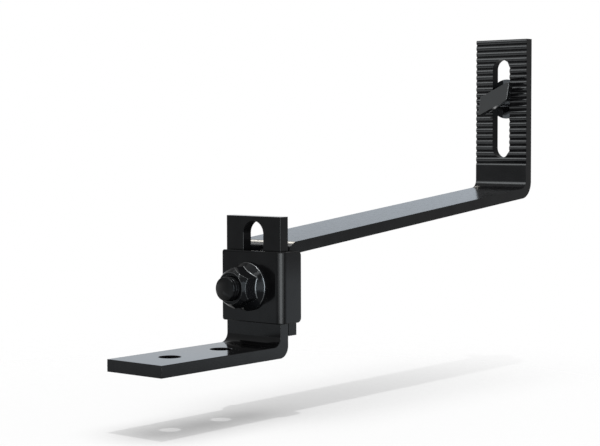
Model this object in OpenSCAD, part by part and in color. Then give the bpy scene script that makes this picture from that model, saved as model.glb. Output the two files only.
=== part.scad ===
// Roof hook for a slate roof: a screwed foot, an arm set for height and a ridged upright for a rail

/* [Bars] */
// Width of both bent bars
bar_w = 30; // [26:1:40]
// Thickness of both bent bars
bar_t = 5; // [4:0.5:6]
// Inside radius of every bend
bend_in = 4; // [2:0.5:5]

/* [Foot] */
// Length of the foot plate in front of the foot's leg
foot_reach = 70.5; // [66:0.5:100]
// Height of the foot's leg above the roof
foot_leg_h = 59; // [56:0.5:80]
// Outside radius of the foot's bend
foot_bend_out = 5; // [4:0.5:7]
// Diameter of the two screw holes
screw_hole_d = 9; // [6:0.5:11]
// Distance between the two screw holes
screw_pitch = 30; // [24:1:36]
// Distance from the plate's front end to the first screw hole
screw_inset = 20; // [14:0.5:24]
// Height of the lower end of the leg's slot above the roof
leg_slot_z = 19; // [16:0.5:22]
// Metal left above the leg's slot
leg_slot_web = 2; // [1.5:0.5:5]

/* [Arm] */
// Distance from the foot leg's front face to the upright's front face
arm_reach = 192; // [150:1:240]
// Angle by which the arm climbs towards the upright
arm_angle = 5.5; // [2:0.5:8]
// Length of the arm's leg below the clamp bolt
arm_tail = 20.6; // [18:0.2:24]
// Height of the arm's lower corner above the clamp bolt
arm_corner = 18.3; // [17:0.1:26]
// Height of the upright's top above the clamp bolt
upright_h = 111.4; // [106:0.2:140]
// Outside radius of the bend at the arm's leg
arm_bend_out = 6; // [4:0.5:8]
// Outside radius of the bend at the upright
upright_bend_out = 8.5; // [6:0.5:9]

/* [Ridges and rail slot] */
// Distance from one ridge to the next
ridge_pitch = 3; // [2.4:0.1:3]
// Number of ridges across the upright's front
ridge_count = 21; // [12:1:21]
// Depth of the grooves between the ridges
ridge_depth = 0.7; // [0.4:0.1:1]
// Length of the upright's slot
rail_slot_l = 50; // [36:1:54]
// Distance from the upright's top to the upper end of its slot
rail_slot_inset = 10; // [6:0.5:12]

/* [Clamp] */
// Height of the clamp bolt above the roof
clamp_z = 29.6; // [25:0.2:50]
// Thickness of the clamp saddle's sheet
saddle_t = 3; // [2:0.25:4]
// Height of the clamp saddle
saddle_h = 30; // [26:0.5:34]
// Radius of the clamp saddle's free corners
saddle_corner_r = 2; // [1:0.25:4]
// Diameter of the clamp bolt
clamp_bolt_d = 10; // [8:0.5:11]
// Height of the clamp bolt's flange nut
clamp_nut_h = 11.5; // [10:0.1:14]
// Length of the clamp bolt that stands out of its nut
clamp_bolt_out = 3.4; // [1:0.1:8]

/* [Rail bolt] */
// Diameter of the rail bolt's shank
rail_bolt_d = 8; // [6:0.5:9]
// Distance from the upright's top to the rail bolt
rail_bolt_drop = 30; // [24:0.5:44]
// Length of the rail bolt's hammer head
head_l = 19; // [15:0.5:24]
// Thickness of the rail bolt's hammer head
head_t = 4; // [3:0.25:5]
// Angle by which the hammer head is turned out of level
head_turn = 25; // [0:1:90]
// Room between the hammer head and the ridges for the rail's lip
lip_gap = 3.1; // [2:0.1:5]
// Height of the rail bolt's flange nut
rail_nut_h = 8; // [6:0.5:10]
// Length of the rail bolt that stands out of its nut
rail_bolt_out = 3.5; // [1:0.1:5]

/* [Hidden] */
$fn = 96;

// Clearances: between faces that slide, round a turning shank, round a passing bolt
slide_gap = 0.25;
thread_gap = 0.05;
bolt_play = 1;
nut_gap = 0.1;
neck_gap = 0.15;
// Depth by which a cutter runs past what it cuts
over = 1;

// Share by which a rounding circle is larger than one that only touches the corner's sides
round_ease = 1.001;

// Foot: the origin lies midway between the screw holes, on the plate's underside
foot_front_y = -(screw_inset + screw_pitch / 2);
leg_y = foot_front_y + foot_reach;
leg_slot_w = clamp_bolt_d + bolt_play;
leg_slot_top = foot_leg_h - leg_slot_web;

// Arm: its leg stands behind the foot's leg, and its line climbs to the upright
arm_y = leg_y + bar_t + slide_gap;
arm_bottom_z = clamp_z - arm_tail;
arm_corner_z = clamp_z + arm_corner;
upright_y = leg_y + arm_reach;
upright_top = clamp_z + upright_h;
rail_slot_w = rail_bolt_d + 2 * bolt_play;
rail_slot_z = upright_top - rail_slot_inset - rail_slot_l;
rail_z = upright_top - rail_bolt_drop;
ridge_tip = 1;
ridge_r = (pow(ridge_pitch / 2, 2) + pow(ridge_depth, 2)) / (2 * ridge_depth);
ridge_first_z = upright_top - ridge_tip;
// Extra depth of metal taken away behind the grooves before the ridges are added
ridge_root = 0.3;
// Height above the last ridge's middle at which the plain face begins
ridge_start = 0.2;
ridge_zone_z = ridge_first_z - ridge_count * ridge_pitch + ridge_start;

// Clamp saddle: a front wall under the nut and one side wall beside both legs
saddle_front_y = leg_y - slide_gap - saddle_t;
saddle_side_x = bar_w / 2 + slide_gap;
saddle_bend_in = slide_gap * 2;
saddle_left_x = -bar_w / 2 + slide_gap;
saddle_back_y = arm_y + bar_t - 2 * slide_gap;

// Clamp bolt and nut
carriage_d = clamp_bolt_d * 2.2;
carriage_h = clamp_bolt_d * 0.5;
neck_w = clamp_bolt_d;
neck_l = bar_t - 2 * slide_gap;
clamp_af = clamp_bolt_d * 1.5;
clamp_flange_d = clamp_bolt_d * 2.06;
clamp_bolt_back_y = arm_y + bar_t;
clamp_bolt_end_y = saddle_front_y - clamp_nut_h - clamp_bolt_out;

// Rail bolt and nut
rail_af = rail_bolt_d * 1.625;
rail_flange_d = rail_bolt_d * 2.5;
head_w = rail_bolt_d;
head_cut = 55;
head_corner_r = 1;
head_back_y = upright_y - lip_gap;
rail_nut_y = upright_y + bar_t + nut_gap;
rail_bolt_end_y = rail_nut_y + rail_nut_h + rail_bolt_out;

// Draws a profile of Y and Z across the width w, centred on X
module across(w) {
    rotate([90, 0, 90])
        linear_extrude(height = w, center = true)
            children();
}

// Area between the corner h, whose sides run along u and v, and the circle that rounds it.
// It reaches past the corner's sides, so it overlaps what it fills or trims.
module corner_area(h, u, v, r) {
    angle = acos(u * v);
    middle = h + r * (u + v) / sin(angle);
    past_u = (r + over) * (v - cos(angle) * u) / sin(angle);
    past_v = (r + over) * (u - cos(angle) * v) / sin(angle);
    difference() {
        polygon([h - over * (u + v), middle - past_u, middle, middle - past_v]);
        translate(middle)
            circle(r = r * round_ease);
    }
}

// Shank along Y from y0 to y1 with a chamfer at its far end; dir is the way that end points
module shank(d, y0, y1, z) {
    chamfer = d * 0.03;
    way = y1 > y0 ? -90 : 90;
    len = abs(y1 - y0);
    translate([0, y0, z])
        rotate([way, 0, 0])
            union() {
                cylinder(d = d, h = len - chamfer);
                translate([0, 0, len - chamfer])
                    cylinder(d1 = d, d2 = d - 2 * chamfer, h = chamfer);
            }
}

// Upright slot cutter through the thickness of a bar, w wide, from z0 to z1
module slot_cutter(w, y, z0, z1) {
    depth = bar_t + 2 * over;
    translate([0, y - over, z0 + w / 2])
        rotate([-90, 0, 0])
            cylinder(d = w, h = depth);
    translate([0, y - over, z1 - w / 2])
        rotate([-90, 0, 0])
            cylinder(d = w, h = depth);
    translate([-w / 2, y - over, z0 + w / 2])
        cube([w, depth, z1 - z0 - w]);
}

// Flange nut along +Z with its bearing face at zero, af across its flats
module flange_nut(d, af, flange_d, h) {
    corner_d = af / cos(30);
    rim_t = d * 0.12;
    cone_h = d * 0.36;
    chamfer_d = af * 0.89;
    chamfer_slope = 0.7;
    bore_d = d + 2 * thread_gap;
    mouth = d * 0.04;
    difference() {
        union() {
            cylinder(d = flange_d, h = rim_t);
            translate([0, 0, rim_t])
                cylinder(d1 = flange_d, d2 = af * 0.93, h = cone_h);
            intersection() {
                rotate([0, 0, 30])
                    cylinder(d = corner_d, h = h, $fn = 6);
                cylinder(d1 = chamfer_d + 2 * h * chamfer_slope, d2 = chamfer_d, h = h);
            }
        }
        translate([0, 0, -over])
            cylinder(d = bore_d, h = h + 2 * over);
        translate([0, 0, h - 2 * mouth])
            cylinder(d1 = bore_d - 2 * mouth, d2 = bore_d + 4 * mouth, h = 3 * mouth);
    }
}

// Bent bar that is screwed to the rafter and stands up through the clamp
module base_bracket() {
    color("#1c1c1e")
        difference() {
            union() {
                across(bar_w)
                    polygon([
                        [foot_front_y, 0],
                        [leg_y + bar_t, 0],
                        [leg_y + bar_t, foot_leg_h],
                        [leg_y, foot_leg_h],
                        [leg_y, bar_t],
                        [foot_front_y, bar_t]
                    ]);
                across(bar_w)
                    corner_area([leg_y, bar_t], [-1, 0], [0, 1], bend_in);
            }
            across(bar_w + 2 * over)
                corner_area([leg_y + bar_t, 0], [-1, 0], [0, 1], foot_bend_out);
            for (side = [-1, 1])
                translate([0, side * screw_pitch / 2, -over])
                    cylinder(d = screw_hole_d, h = bar_t + 2 * over);
            slot_cutter(leg_slot_w, leg_y, leg_slot_z, leg_slot_top);
        }
}

// Height of the arm at y, measured depth below its top face
function arm_z(y, depth) =
    arm_corner_z + (y - arm_y) * tan(arm_angle) - depth / cos(arm_angle);

// Arm's bent bar before its front is ridged and its holes are made
module arm_bar() {
    back_y = arm_y + bar_t;
    upright_back_y = upright_y + bar_t;
    along = [cos(arm_angle), sin(arm_angle)];
    difference() {
        union() {
            across(bar_w)
                polygon([
                    [arm_y, arm_bottom_z],
                    [arm_y, arm_corner_z],
                    [upright_y, arm_z(upright_y, 0)],
                    [upright_y, upright_top],
                    [upright_back_y, upright_top],
                    [upright_back_y, arm_z(upright_back_y, bar_t)],
                    [back_y, arm_z(back_y, bar_t)],
                    [back_y, arm_bottom_z]
                ]);
            across(bar_w)
                corner_area([back_y, arm_z(back_y, bar_t)], [0, -1], along, bend_in);
            across(bar_w)
                corner_area([upright_y, arm_z(upright_y, 0)], [0, 1], -along, bend_in);
        }
        across(bar_w + 2 * over)
            corner_area([arm_y, arm_corner_z], [0, -1], along, arm_bend_out);
        across(bar_w + 2 * over)
            corner_area([upright_back_y, arm_z(upright_back_y, bar_t)], [0, 1], -along, upright_bend_out);
    }
}

// Row of round-backed ridges across the upright's front
module ridges() {
    intersection() {
        translate([-bar_w / 2, upright_y - over, ridge_zone_z - ridge_pitch])
            cube([bar_w, bar_t, upright_top - ridge_zone_z + ridge_pitch]);
        union() {
            for (i = [0 : ridge_count])
                translate([0, upright_y + ridge_r, ridge_first_z - i * ridge_pitch])
                    rotate([0, 90, 0])
                        cylinder(r = ridge_r, h = bar_w + 2 * over, center = true);
        }
    }
}

// Bent bar that carries the rail, clamped behind the foot's leg
module hook_arm() {
    hole_w = neck_w + 2 * neck_gap;
    color("#1c1c1e")
        difference() {
            union() {
                difference() {
                    arm_bar();
                    translate([-bar_w / 2 - over, upright_y - over, ridge_zone_z])
                        cube([
                            bar_w + 2 * over,
                            ridge_depth + ridge_root + over,
                            upright_top - ridge_zone_z + over
                        ]);
                }
                ridges();
            }
            translate([-hole_w / 2, arm_y - over, clamp_z - hole_w / 2])
                cube([hole_w, bar_t + 2 * over, hole_w]);
            slot_cutter(rail_slot_w, upright_y, rail_slot_z, rail_slot_z + rail_slot_l);
        }
}

// Plate of length l and height h whose two far corners are rounded
module rounded_end(l, h, r) {
    difference() {
        square([l, h]);
        corner_area([l, 0], [-1, 0], [0, 1], r);
        corner_area([l, h], [-1, 0], [0, -1], r);
    }
}

// Folded sheet that holds both legs together: a front wall and one side wall
module clamp_saddle() {
    wall_y = saddle_front_y + saddle_t + saddle_bend_in;
    fold_x = saddle_side_x - saddle_bend_in;
    low_z = clamp_z - saddle_h / 2;
    color("#202022")
        difference() {
            union() {
                translate([fold_x, saddle_front_y + saddle_t, low_z])
                    rotate([90, 0, 0])
                        linear_extrude(height = saddle_t)
                            mirror([1, 0])
                                rounded_end(fold_x - saddle_left_x, saddle_h, saddle_corner_r / 2);
                translate([fold_x, wall_y, low_z])
                    rotate([0, 0, -90])
                        rotate_extrude(angle = 90)
                            translate([saddle_bend_in, 0])
                                square([saddle_t, saddle_h]);
                translate([saddle_side_x, wall_y, low_z])
                    rotate([90, 0, 90])
                        linear_extrude(height = saddle_t)
                            rounded_end(saddle_back_y - wall_y, saddle_h, saddle_corner_r);
            }
            translate([0, saddle_front_y - over, clamp_z])
                rotate([-90, 0, 0])
                    cylinder(d = clamp_bolt_d + bolt_play, h = saddle_t + 2 * over);
        }
}

// Carriage bolt from behind: domed head, square neck in the arm, shank through both legs
module clamp_bolt() {
    dome_r = (pow(carriage_d / 2, 2) + pow(carriage_h, 2)) / (2 * carriage_h);
    color("#2a2a2c")
        union() {
            translate([0, clamp_bolt_back_y, clamp_z])
                rotate([-90, 0, 0])
                    intersection() {
                        cylinder(d = carriage_d + over, h = carriage_h + over);
                        translate([0, 0, carriage_h - dome_r])
                            sphere(r = dome_r);
                    }
            translate([-neck_w / 2, clamp_bolt_back_y - neck_l, clamp_z - neck_w / 2])
                cube([neck_w, neck_l, neck_w]);
            shank(clamp_bolt_d, clamp_bolt_back_y, clamp_bolt_end_y, clamp_z);
        }
}

// Flange nut that presses the clamp saddle against the foot's leg
module clamp_nut() {
    color("#2a2a2c")
        translate([0, saddle_front_y, clamp_z])
            rotate([90, 0, 0])
                flange_nut(clamp_bolt_d, clamp_af, clamp_flange_d, clamp_nut_h);
}

// Outline of the hammer head: a bar with both ends cut on the slant
module head_outline() {
    lean = head_w / 2 / tan(head_cut);
    cut_way = [cos(head_cut), sin(head_cut)];
    difference() {
        polygon([
            [-head_l / 2 - lean, -head_w / 2],
            [head_l / 2 - lean, -head_w / 2],
            [head_l / 2 + lean, head_w / 2],
            [-head_l / 2 + lean, head_w / 2]
        ]);
        for (turn = [0, 180])
            rotate(turn) {
                corner_area([-head_l / 2 - lean, -head_w / 2], [1, 0], cut_way, head_corner_r);
                corner_area([head_l / 2 - lean, -head_w / 2], [-1, 0], cut_way, head_corner_r);
            }
    }
}

// Hammer-head bolt for the rail, standing in the upright's slot
module rail_t_bolt() {
    color("#2a2a2c")
        union() {
            translate([0, head_back_y, rail_z])
                rotate([90, 0, 0])
                    linear_extrude(height = head_t)
                        rotate(head_turn)
                            head_outline();
            shank(rail_bolt_d, head_back_y - head_t / 2, rail_bolt_end_y, rail_z);
        }
}

// Flange nut behind the upright
module rail_nut() {
    color("#2a2a2c")
        translate([0, rail_nut_y, rail_z])
            rotate([-90, 0, 0])
                flange_nut(rail_bolt_d, rail_af, rail_flange_d, rail_nut_h);
}

base_bracket();
hook_arm();
clamp_saddle();
clamp_bolt();
clamp_nut();
rail_t_bolt();
rail_nut();
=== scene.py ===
"""Looks of the roof hook: black coated steel over a white studio floor. Lengths are in metres."""

import math

import bmesh
import bpy
from mathutils import Matrix, Vector


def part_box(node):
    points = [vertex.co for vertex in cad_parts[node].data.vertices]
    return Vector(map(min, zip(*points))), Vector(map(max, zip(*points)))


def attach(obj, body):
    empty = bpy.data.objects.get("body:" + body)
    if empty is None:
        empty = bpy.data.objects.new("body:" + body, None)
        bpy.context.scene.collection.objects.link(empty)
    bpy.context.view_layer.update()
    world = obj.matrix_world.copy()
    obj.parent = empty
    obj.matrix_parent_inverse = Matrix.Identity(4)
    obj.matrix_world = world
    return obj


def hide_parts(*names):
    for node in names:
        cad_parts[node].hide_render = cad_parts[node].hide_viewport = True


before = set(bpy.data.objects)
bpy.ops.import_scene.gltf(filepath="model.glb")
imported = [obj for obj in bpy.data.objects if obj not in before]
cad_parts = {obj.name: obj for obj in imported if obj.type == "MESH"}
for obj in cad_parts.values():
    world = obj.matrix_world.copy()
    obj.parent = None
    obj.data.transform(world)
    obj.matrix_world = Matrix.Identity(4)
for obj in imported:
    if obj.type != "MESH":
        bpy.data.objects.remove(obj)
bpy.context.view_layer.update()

MM = 0.001

# Camera, fitted to the edges of the bars in the photograph
IMAGE_WIDTH = 600
FOCAL_PIXELS = 1606.3
SENSOR_MM = 36.0
CAMERA_PLACE = Vector((0.44468, -0.47109, 0.09332))
CAMERA_YAW = math.radians(50.400)
CAMERA_PITCH = math.radians(3.167)
CAMERA_ROLL = math.radians(-0.150)
CLIP_NEAR = 0.01
CLIP_FAR = 40.0

# The floor lies below the foot, where the photograph's shadow falls
FLOOR_MIDDLE = (0.0, 0.02, -0.025)
FLOOR_RADIUS = 0.8
FLOOR_SIDES = 64
FLOOR_GREY = 0.7
FLOOR_LIFT = 0.365
# Distances from the floor's middle between which it fades into the background
FADE_START = 0.02
FADE_END = 0.32

# Brightness of the studio for all but the rays that see it
ROOM_LEVEL = 0.2

# Softened edges: radius of the rounding on each kind of piece
BAR_EDGE = 0.45 * MM
ARM_EDGE = 0.3 * MM
SHEET_EDGE = 0.5 * MM
FASTENER_EDGE = 0.3 * MM
NUT_EDGE = 0.45 * MM
# Share of the nut's rounding, and so of its painted highlight, that the hexagon's edges get
HEX_SHARE = 0.22
# Two faces that meet at more than this angle make a sharp edge
SHARP_ANGLE = math.radians(28)
ROUNDING_STEPS = 3
# Pull of the large faces on the shading of their corners, at its strongest
FLAT_PULL = 100
# Corners of a CAD mesh closer than this are joined, and faces within this angle become one
JOIN_DISTANCE = 0.002 * MM
FLAT_ANGLE = math.radians(0.2)

# Height of the clamp nut's flange, up to the line where the hexagon rises
NUT_FLANGE = 4.9 * MM

# Arm: thickness of the upright and half the width of its slot, each with a little to spare
UPRIGHT_DEPTH = 5.5 * MM
SLOT_REACH = 5.2 * MM
# Limits on a unit normal that tell the slot's walls and the grooves' slopes, which get painted
# shade, from other faces
WALL_LEAN = 0.1
GROOVE_FACING = 0.2
GROOVE_SLOPE = 0.6

# Bolts: radius and pitch of the clamp bolt and of the rail bolt
CLAMP_RADIUS = 5.0 * MM
CLAMP_PITCH = 1.5 * MM
RAIL_RADIUS = 4.0 * MM
RAIL_PITCH = 1.25 * MM
# Depth inside the clamp nut at which the bolt's thread begins
CLAMP_THREAD_IN = 3.0 * MM
# Rail bolt: thickness of its hammer head, plain shank left on it, and start of the thread inside it
HEAD_THICKNESS = 4.0 * MM
HEAD_STUB = 0.4 * MM
HEAD_OVERLAP = 0.5 * MM

# Threads: depth and half the crest's flat as shares of the pitch, and the chamfer at the free end
THREAD_DEPTH = 0.61
CREST_HALF = 0.1
THREAD_CHAMFER = 0.2 * MM
CHAMFER_SLOPE = 0.9
# The thread grows from this share of its depth at the free end to all of it, over so many pitches
END_SHARE = 0.1
END_PITCHES = 0.6
TURN_STEPS = 72
PITCH_STEPS = 10
# Angle that parts the flat ends of a threaded rod from its smooth thread
END_ANGLE = math.radians(50)

# Coats: noise features per metre, spread of the roughness to both sides, height of the orange peel
MOTTLE_SCALE = 140.0
GLOSS_SCALE = 420.0
PEEL_SCALE = 900.0
GLOSS_SPREAD = 0.015
PEEL_HEIGHT = 0.01 * MM

# Values of the noise between which the mottling runs from dark to light
MOTTLE_DARK = 0.35
MOTTLE_LIGHT = 0.68

BLACK = (0.0019, 0.0019, 0.0021)
NEAR_BLACK = (0.0034, 0.0034, 0.0037)
SOOT = (0.0050, 0.0050, 0.0054)
COOL = (0.93, 0.98, 1.0)
COLD = (0.84, 0.93, 1.0)
WARM = (1.0, 0.95, 0.86)
WHITE = (1.0, 1.0, 1.0)
BLUE = (0.15, 0.55, 1.0)
PALE_BLUE = (0.85, 0.93, 1.0)

# Ways in which faces turned to the front and to the right mirror the camera's line of sight
FRONT_MIRROR = (-0.636, -0.769, 0.0)
SIDE_MIRROR = (0.636, 0.769, 0.0)


# Materials


def noise(tree, vector, scale, detail):
    """Adds a noise texture of that many features per metre."""
    node = tree.nodes.new("ShaderNodeTexNoise")
    node.inputs["Scale"].default_value = scale
    node.inputs["Detail"].default_value = detail
    tree.links.new(vector, node.inputs["Vector"])
    return node.outputs["Fac"]


def spread(tree, value, low, high):
    """Maps a value from 0.3..0.7, where noise mostly lies, to low..high."""
    node = tree.nodes.new("ShaderNodeMapRange")
    node.inputs["From Min"].default_value = 0.3
    node.inputs["From Max"].default_value = 0.7
    node.inputs["To Min"].default_value = low
    node.inputs["To Max"].default_value = high
    tree.links.new(value, node.inputs["Value"])
    return node.outputs["Result"]


def coated_metal(name, roughness, peel, specular, dark=BLACK, light=NEAR_BLACK, tint=COOL):
    """Black coating over steel: faint mottling, uneven gloss and a fine orange peel."""
    material = bpy.data.materials.new(name)
    material.use_nodes = True
    tree = material.node_tree
    shader = tree.nodes["Principled BSDF"]
    place = tree.nodes.new("ShaderNodeTexCoord").outputs["Object"]

    mottle = noise(tree, place, MOTTLE_SCALE, detail=4.0)
    ramp = tree.nodes.new("ShaderNodeValToRGB")
    ramp.color_ramp.elements[0].position = MOTTLE_DARK
    ramp.color_ramp.elements[0].color = (*dark, 1)
    ramp.color_ramp.elements[1].position = MOTTLE_LIGHT
    ramp.color_ramp.elements[1].color = (*light, 1)
    tree.links.new(mottle, ramp.inputs["Fac"])
    tree.links.new(ramp.outputs["Color"], shader.inputs["Base Color"])

    gloss = noise(tree, place, GLOSS_SCALE, detail=3.0)
    gloss_range = spread(tree, gloss, roughness - GLOSS_SPREAD, roughness + GLOSS_SPREAD)
    tree.links.new(gloss_range, shader.inputs["Roughness"])

    grain = noise(tree, place, PEEL_SCALE, detail=2.0)
    bump = tree.nodes.new("ShaderNodeBump")
    bump.inputs["Strength"].default_value = peel
    bump.inputs["Distance"].default_value = PEEL_HEIGHT
    tree.links.new(grain, bump.inputs["Height"])
    tree.links.new(bump.outputs["Normal"], shader.inputs["Normal"])

    shader.inputs["Specular IOR Level"].default_value = specular
    shader.inputs["Specular Tint"].default_value = (*tint, 1)
    return material


foot_coat = coated_metal("foot_coat", roughness=0.12, peel=0.10, specular=0.09)
arm_coat = coated_metal("arm_coat", roughness=0.20, peel=0.10, specular=0.07)
# Glossier copy of the arm's coat for its upright: a painted sheen on the same coating
upright_painted_sheen_coat = coated_metal("upright_painted_sheen_coat", roughness=0.11, peel=0.06, specular=0.13)
# Dull copy of the arm's coat for the slot walls and groove slopes: painted shade
painted_shade_coat = coated_metal("painted_shade_coat", roughness=0.30, peel=0.10, specular=0.02)
sheet_coat = coated_metal("sheet_coat", roughness=0.13, peel=0.05, specular=0.08)
nut_coat = coated_metal(
    "nut_coat", roughness=0.11, peel=0.05, specular=0.05, dark=NEAR_BLACK, light=SOOT
)
# Far glossier coat for the clamp nut's rounded edges: a painted highlight, not wear
painted_highlight_edge = coated_metal("painted_highlight_edge", roughness=0.25, peel=0.06, specular=1.0)
bolt_coat = coated_metal("bolt_coat", roughness=0.12, peel=0.06, specular=0.07)
head_coat = coated_metal("head_coat", roughness=0.18, peel=0.06, specular=0.62)
rail_coat = coated_metal("rail_coat", roughness=0.08, peel=0.04, specular=1.0, tint=COLD)


# Making and softening a piece


def finished(name, bm, material, body, nodes):
    """Makes an object of a bmesh that stands for CAD nodes and rides with their body."""
    mesh = bpy.data.meshes.new(name)
    bm.to_mesh(mesh)
    bm.free()
    for polygon in mesh.polygons:
        polygon.use_smooth = True
    mesh.materials.append(material)
    piece = bpy.data.objects.new(name, mesh)
    bpy.context.scene.collection.objects.link(piece)
    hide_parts(*nodes)
    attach(piece, body)
    return piece


def clean_copy(node):
    """The CAD node's mesh as a bmesh with joined corners and whole flat faces."""
    bm = bmesh.new()
    bm.from_mesh(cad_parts[node].data)
    bmesh.ops.remove_doubles(bm, verts=bm.verts, dist=JOIN_DISTANCE)
    bmesh.ops.dissolve_limit(
        bm, angle_limit=FLAT_ANGLE, verts=bm.verts, edges=bm.edges, delimit=set()
    )
    return bm


def weigh_edges(bm, share):
    """Gives each sharp edge its share of the rounding; one that gets none is shaded sharp."""
    weight = bm.edges.layers.float.new("bevel_weight_edge")
    for edge in bm.edges:
        if len(edge.link_faces) == 2 and edge.calc_face_angle() > SHARP_ANGLE:
            edge[weight] = share(edge)
            edge.smooth = share(edge) > 0


def soften(piece, radius, limit="ANGLE"):
    """Rounds the sharp edges by that radius and shades flat faces flat."""
    bevel = piece.modifiers.new("edges", "BEVEL")
    bevel.width = radius
    bevel.segments = ROUNDING_STEPS
    bevel.limit_method = limit
    bevel.angle_limit = SHARP_ANGLE
    bevel.miter_outer = "MITER_ARC"
    bevel.use_clamp_overlap = True
    normals = piece.modifiers.new("flat_faces", "WEIGHTED_NORMAL")
    normals.weight = FLAT_PULL
    normals.keep_sharp = True


def softened(node, radius, material, body):
    """The CAD node as a coated piece with all its sharp edges rounded."""
    piece = finished(node + "_coated", clean_copy(node), material, body, [node])
    soften(piece, radius)
    return piece


def cut_off(bm, y, side):
    """Takes away what lies beyond y, to the side of it, and closes the cut."""
    geometry = bm.verts[:] + bm.edges[:] + bm.faces[:]
    cut = bmesh.ops.bisect_plane(
        bm, geom=geometry, plane_co=(0, y, 0), plane_no=(0, side, 0), clear_outer=True
    )
    rim = [part for part in cut["geom_cut"] if isinstance(part, bmesh.types.BMEdge)]
    bmesh.ops.holes_fill(bm, edges=rim)


def crest_radius(radius, pitch, turn, along, left):
    """How far a threaded rod's surface lies from its axis at one place.

    The place is that share of a turn round the rod, along from its start and left to its free end.
    """
    full_depth = THREAD_DEPTH * pitch
    depth = full_depth * min(1.0, END_SHARE + left / (END_PITCHES * pitch))
    phase = (along / pitch - turn) % 1.0
    rise = min(1.0, (0.5 - abs(phase - 0.5)) / (0.5 - CREST_HALF))
    chamfered = radius - THREAD_CHAMFER + left * CHAMFER_SLOPE
    return min(radius - depth * (1.0 - rise), chamfered)


def thread(start_y, end_y, middle_z, radius, pitch):
    """A threaded rod along Y from start_y to its chamfered free end at end_y."""
    length = abs(end_y - start_y)
    way = math.copysign(1, end_y - start_y)
    rings = max(2, round(length / pitch * PITCH_STEPS))
    bm = bmesh.new()
    rows = []
    for ring in range(rings + 1):
        along = length * ring / rings
        y = start_y + way * along
        row = []
        for step in range(TURN_STEPS):
            turn = step / TURN_STEPS
            angle = math.tau * turn
            crest = crest_radius(radius, pitch, turn, along, length - along)
            corner = (crest * math.sin(angle), y, middle_z + crest * math.cos(angle))
            row.append(bm.verts.new(corner))
        rows.append(row)
    for near, far in zip(rows, rows[1:]):
        for step in range(TURN_STEPS):
            after = (step + 1) % TURN_STEPS
            bm.faces.new((near[step], near[after], far[after], far[step]))
    bm.faces.new(rows[0])
    bm.faces.new(rows[-1])
    bmesh.ops.recalc_face_normals(bm, faces=bm.faces)
    return bm


def threaded(name, bm, material, body, nodes):
    """A threaded rod as a piece, with its flat ends kept flat beside the smooth thread."""
    piece = finished(name, bm, material, body, nodes)
    piece.data.set_sharp_from_angle(angle=END_ANGLE)
    return piece


# Pieces


def nut_with_painted_edge_highlights():
    """Clamp nut: its rounded edges get a far glossier coat, a painted highlight, widest on the
    flange's rim and the line where the hexagon rises.
    """
    flange_top_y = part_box("clamp_nut")[1][1] - NUT_FLANGE

    def share(edge):
        on_flange = min(vert.co.y for vert in edge.verts) > flange_top_y
        return 1.0 if on_flange else HEX_SHARE

    bm = clean_copy("clamp_nut")
    weigh_edges(bm, share)
    nut = finished("clamp_nut_coated", bm, nut_coat, "arm", ["clamp_nut"])
    nut.data.materials.append(painted_highlight_edge)
    soften(nut, NUT_EDGE, "WEIGHT")
    # The rounded edges take the glossier coat, which paints highlight lines on them
    nut.modifiers["edges"].material = nut.data.materials.find(painted_highlight_edge.name)
    return nut


def ridged_arm():
    """Arm: only its outward edges are rounded. Its upright gets a glossier copy of the coat as a
    painted sheen, with painted shade on the slot walls and groove slopes.
    """
    bm = clean_copy("hook_arm")
    weigh_edges(bm, lambda edge: 1.0 if edge.is_convex else 0.0)
    arm = finished("hook_arm_coated", bm, arm_coat, "arm", ["hook_arm"])
    coats = arm.data.materials
    coats.append(upright_painted_sheen_coat)
    coats.append(painted_shade_coat)
    upright_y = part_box("hook_arm")[1][1] - UPRIGHT_DEPTH
    for polygon in arm.data.polygons:
        if polygon.center.y > upright_y:
            normal = polygon.normal
            in_slot = abs(normal.y) < WALL_LEAN and abs(polygon.center.x) < SLOT_REACH
            in_groove = normal.y < -GROOVE_FACING and abs(normal.z) > GROOVE_SLOPE
            # Slot walls and groove slopes get the painted shade, the rest of the upright the painted
            # sheen
            coat = painted_shade_coat if in_slot or in_groove else upright_painted_sheen_coat
            polygon.material_index = coats.find(coat.name)
    soften(arm, ARM_EDGE, "WEIGHT")
    return arm


def clamp_bolt():
    """Clamp bolt: head and neck from the frame, with a threaded end in front of the nut."""
    nut_low, nut_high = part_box("clamp_nut")
    end_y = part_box("clamp_bolt")[0][1]
    middle_z = (nut_low[2] + nut_high[2]) / 2
    thread_y = nut_low[1] + CLAMP_THREAD_IN
    bm = clean_copy("clamp_bolt")
    cut_off(bm, thread_y, -1)
    head = finished("clamp_bolt_head", bm, bolt_coat, "arm", ["clamp_bolt"])
    soften(head, FASTENER_EDGE)
    rod = thread(thread_y, end_y, middle_z, CLAMP_RADIUS, CLAMP_PITCH)
    return threaded("clamp_bolt_thread", rod, bolt_coat, "arm", ["clamp_bolt"])


def rail_bolt():
    """Rail bolt: hammer head from the frame, with a threaded shank behind it."""
    bolt_low, bolt_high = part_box("rail_t_bolt")
    nut_low, nut_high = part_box("rail_nut")
    middle_z = (nut_low[2] + nut_high[2]) / 2
    head_back_y = bolt_low[1] + HEAD_THICKNESS
    nodes = ["rail_t_bolt"]
    bm = clean_copy("rail_t_bolt")
    cut_off(bm, head_back_y + HEAD_STUB, 1)
    head = finished("rail_bolt_head", bm, head_coat, "rail_bolt", nodes)
    soften(head, FASTENER_EDGE)
    rod = thread(head_back_y - HEAD_OVERLAP, bolt_high[1], middle_z, RAIL_RADIUS, RAIL_PITCH)
    threaded("rail_bolt_thread", rod, rail_coat, "rail_bolt", nodes)


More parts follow.
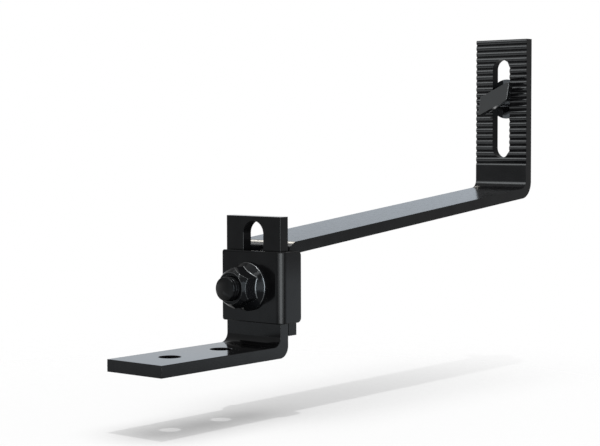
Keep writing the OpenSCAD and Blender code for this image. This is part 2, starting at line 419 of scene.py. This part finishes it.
softened("base_bracket", BAR_EDGE, foot_coat, "base")
saddle = softened("clamp_saddle", SHEET_EDGE, sheet_coat, "arm")
softened("rail_nut", FASTENER_EDGE, rail_coat, "rail_nut")
clamp_nut = nut_with_painted_edge_highlights()
hook_arm = ridged_arm()
clamp_thread = clamp_bolt()
rail_bolt()


# Studio


def seen_rays(tree):
    """1 for rays from the camera, from a mirror or through glass, and 0 for the others."""
    path = tree.nodes.new("ShaderNodeLightPath")
    seen = path.outputs["Is Camera Ray"]
    for kind in ("Is Glossy Ray", "Is Transmission Ray"):
        either = tree.nodes.new("ShaderNodeMath")
        either.operation = "MAXIMUM"
        tree.links.new(seen, either.inputs[0])
        tree.links.new(path.outputs[kind], either.inputs[1])
        seen = either.outputs[0]
    return seen


def lit_paper(tree):
    """Pale paper that takes shadows, lifted by a glow towards white where it is seen."""
    paper = tree.nodes.new("ShaderNodeBsdfDiffuse")
    paper.inputs["Color"].default_value = (FLOOR_GREY, FLOOR_GREY, FLOOR_GREY, 1)
    scaled = tree.nodes.new("ShaderNodeMath")
    scaled.operation = "MULTIPLY"
    scaled.inputs[1].default_value = FLOOR_LIFT
    tree.links.new(seen_rays(tree), scaled.inputs[0])
    lift = tree.nodes.new("ShaderNodeEmission")
    lift.inputs["Color"].default_value = (*WHITE, 1)
    tree.links.new(scaled.outputs[0], lift.inputs["Strength"])
    both = tree.nodes.new("ShaderNodeAddShader")
    tree.links.new(paper.outputs[0], both.inputs[0])
    tree.links.new(lift.outputs[0], both.inputs[1])
    return both.outputs[0]


def fade_from_middle(tree):
    """0 at the object's middle, rising to 1 where the fade ends."""
    place = tree.nodes.new("ShaderNodeTexCoord").outputs["Object"]
    distance = tree.nodes.new("ShaderNodeVectorMath")
    distance.operation = "LENGTH"
    tree.links.new(place, distance.inputs[0])
    fade = tree.nodes.new("ShaderNodeMapRange")
    fade.interpolation_type = "SMOOTHSTEP"
    fade.inputs["From Min"].default_value = FADE_START
    fade.inputs["From Max"].default_value = FADE_END
    tree.links.new(distance.outputs["Value"], fade.inputs["Value"])
    return fade.outputs["Result"]


def white_floor():
    """A pale floor that keeps the object's shadow and fades into the white background."""
    material = bpy.data.materials.new("studio_floor")
    material.use_nodes = True
    tree = material.node_tree
    tree.nodes.clear()
    nothing = tree.nodes.new("ShaderNodeBsdfTransparent")
    pick = tree.nodes.new("ShaderNodeMixShader")
    tree.links.new(fade_from_middle(tree), pick.inputs["Fac"])
    tree.links.new(lit_paper(tree), pick.inputs[1])
    tree.links.new(nothing.outputs[0], pick.inputs[2])
    out = tree.nodes.new("ShaderNodeOutputMaterial")
    tree.links.new(pick.outputs[0], out.inputs["Surface"])

    bm = bmesh.new()
    bmesh.ops.create_circle(bm, cap_ends=True, radius=FLOOR_RADIUS, segments=FLOOR_SIDES)
    mesh = bpy.data.meshes.new("studio_floor")
    bm.to_mesh(mesh)
    bm.free()
    mesh.materials.append(material)
    floor = bpy.data.objects.new("studio_floor", mesh)
    floor.location = FLOOR_MIDDLE
    bpy.context.scene.collection.objects.link(floor)


def room():
    """World: white where it is seen or mirrored, and a dim studio to the rest."""
    world = bpy.data.worlds.new("studio")
    bpy.context.scene.world = world
    world.use_nodes = True
    tree = world.node_tree
    tree.nodes.clear()
    dim = tree.nodes.new("ShaderNodeBackground")
    dim.inputs["Strength"].default_value = ROOM_LEVEL
    white = tree.nodes.new("ShaderNodeBackground")
    white.inputs["Color"].default_value = (*WHITE, 1)
    pick = tree.nodes.new("ShaderNodeMixShader")
    out = tree.nodes.new("ShaderNodeOutputWorld")
    tree.links.new(seen_rays(tree), pick.inputs["Fac"])
    tree.links.new(dim.outputs[0], pick.inputs[1])
    tree.links.new(white.outputs[0], pick.inputs[2])
    tree.links.new(pick.outputs[0], out.inputs["Surface"])


def sun(name, way, strength, degrees):
    """A lamp so far off that its shadows are parallel, with edges softened by its width."""
    lamp = bpy.data.lights.new(name, "SUN")
    lamp.energy = strength
    lamp.angle = math.radians(degrees)
    light = bpy.data.objects.new(name, lamp)
    light.rotation_euler = Vector(way).to_track_quat("-Z", "Y").to_euler()
    bpy.context.scene.collection.objects.link(light)


def softbox(name, lit, target, way, distance, size, glow, color=WHITE):
    """An area lamp on the lit pieces alone, glow times as bright as white.

    It faces its target from that distance, in the direction of way.
    """
    width, height = size
    lamp = bpy.data.lights.new(name, "AREA")
    lamp.shape = "RECTANGLE"
    lamp.size = width
    lamp.size_y = height
    lamp.energy = glow * math.pi * width * height
    lamp.color = color
    light = bpy.data.objects.new(name, lamp)
    toward = Vector(way).normalized()
    light.location = Vector(target) + distance * toward
    light.rotation_euler = (-toward).to_track_quat("-Z", "Y").to_euler()
    light.visible_camera = False
    bpy.context.scene.collection.objects.link(light)
    receivers = bpy.data.collections.new(name + "_receivers")
    for piece in lit:
        receivers.objects.link(piece)
    light.light_linking.receiver_collection = receivers


def lamps(pieces):
    """Highlights of the bend, ridges, fold, edges and nut, and faint cool light on the low faces."""
    bend = (0.0, 0.041, 0.048)
    upright = (0.0, 0.227, 0.10)
    upright_edge = (0.037, 0.184, 0.10)
    fold = (0.015, 0.03, 0.03)
    fold_way = (0.74, -0.67, 0.0)
    nut = (0.0, 0.03, 0.03)
    middle = (0.0, 0.13, 0.06)
    low_side = (0.02, 0.035, -0.055)
    low_front = (0.0, 0.03, -0.055)
    below_saddle = (0.0, 0.03, -0.075)
    arm = [hook_arm]
    nut_pair = [clamp_nut, clamp_thread]
    bars = [piece for piece in pieces if piece not in nut_pair]
    softbox("bend_glow", arm, bend, (-0.636, 0.452, 0.625), 1.2, (0.36, 0.28), 20.0, WARM)
    softbox("ridge_glow", arm, upright, (-0.636, -0.54, 0.45), 1.3, (0.8, 0.9), 2.8)
    softbox("ridge_low", arm, upright, (-0.636, -0.60, -0.44), 0.24, (0.22, 0.12), 3.0)
    softbox("ridge_right", arm, upright_edge, (-0.636, -0.61, 0.45), 0.24, (0.10, 0.10), 8.0)
    softbox("fold_glow", bars, fold, fold_way, 1.3, (2.4, 0.4), 5.0)
    softbox("fold_core", bars, fold, fold_way, 1.2, (0.8, 0.4), 13.0)
    softbox("edge_glow", pieces, nut, (0.30, -0.40, 0.87), 1.2, (0.12, 0.8), 16.0)
    softbox("sky_glow", pieces, middle, (-0.636, 0.76, 0.24), 1.4, (1.2, 0.4), 0.25, BLUE)
    softbox("nut_glow", nut_pair, nut, (0.92, -0.36, 0.12), 1.2, (0.7, 1.2), 8.0, PALE_BLUE)
    softbox("low_side", pieces, low_side, SIDE_MIRROR, 0.5, (0.5, 0.10), 1.8, PALE_BLUE)
    softbox("low_front", pieces, low_front, FRONT_MIRROR, 0.5, (0.5, 0.09), 0.8, PALE_BLUE)
    softbox("saddle_low", [saddle], below_saddle, FRONT_MIRROR, 0.5, (0.4, 0.09), 1.0, PALE_BLUE)


def photo_camera():
    """The photograph's camera: it turns by yaw and pitch, then rolls about its own axis."""
    camera_data = bpy.data.cameras.new("photo_view")
    camera_data.sensor_width = SENSOR_MM
    camera_data.lens = SENSOR_MM * FOCAL_PIXELS / IMAGE_WIDTH
    camera_data.clip_start = CLIP_NEAR
    camera_data.clip_end = CLIP_FAR
    camera = bpy.data.objects.new("photo_view", camera_data)
    across = math.cos(CAMERA_PITCH)
    ahead = Vector(
        (-math.cos(CAMERA_YAW) * across, math.sin(CAMERA_YAW) * across, -math.sin(CAMERA_PITCH))
    )
    level = ahead.cross(Vector((0, 0, 1))).normalized()
    right = level * math.cos(CAMERA_ROLL) + level.cross(ahead) * math.sin(CAMERA_ROLL)
    up = right.cross(ahead)
    turned = Matrix((right, up, -ahead)).transposed().to_4x4()
    camera.matrix_world = Matrix.Translation(CAMERA_PLACE) @ turned
    bpy.context.scene.collection.objects.link(camera)
    bpy.context.scene.camera = camera


# Taken before the floor is made, so that the lamps reach the object alone
all_pieces = [part for part in bpy.context.scene.objects if part.type == "MESH"]
white_floor()
room()
sun("key", (-0.10, 0.10, -1.0), strength=0.75, degrees=1.5)
sun("soft_key", (0.0, 0.0, -1.0), strength=1.55, degrees=64.0)
lamps(all_pieces)
photo_camera()
bpy.context.scene.view_settings.view_transform = "Standard"
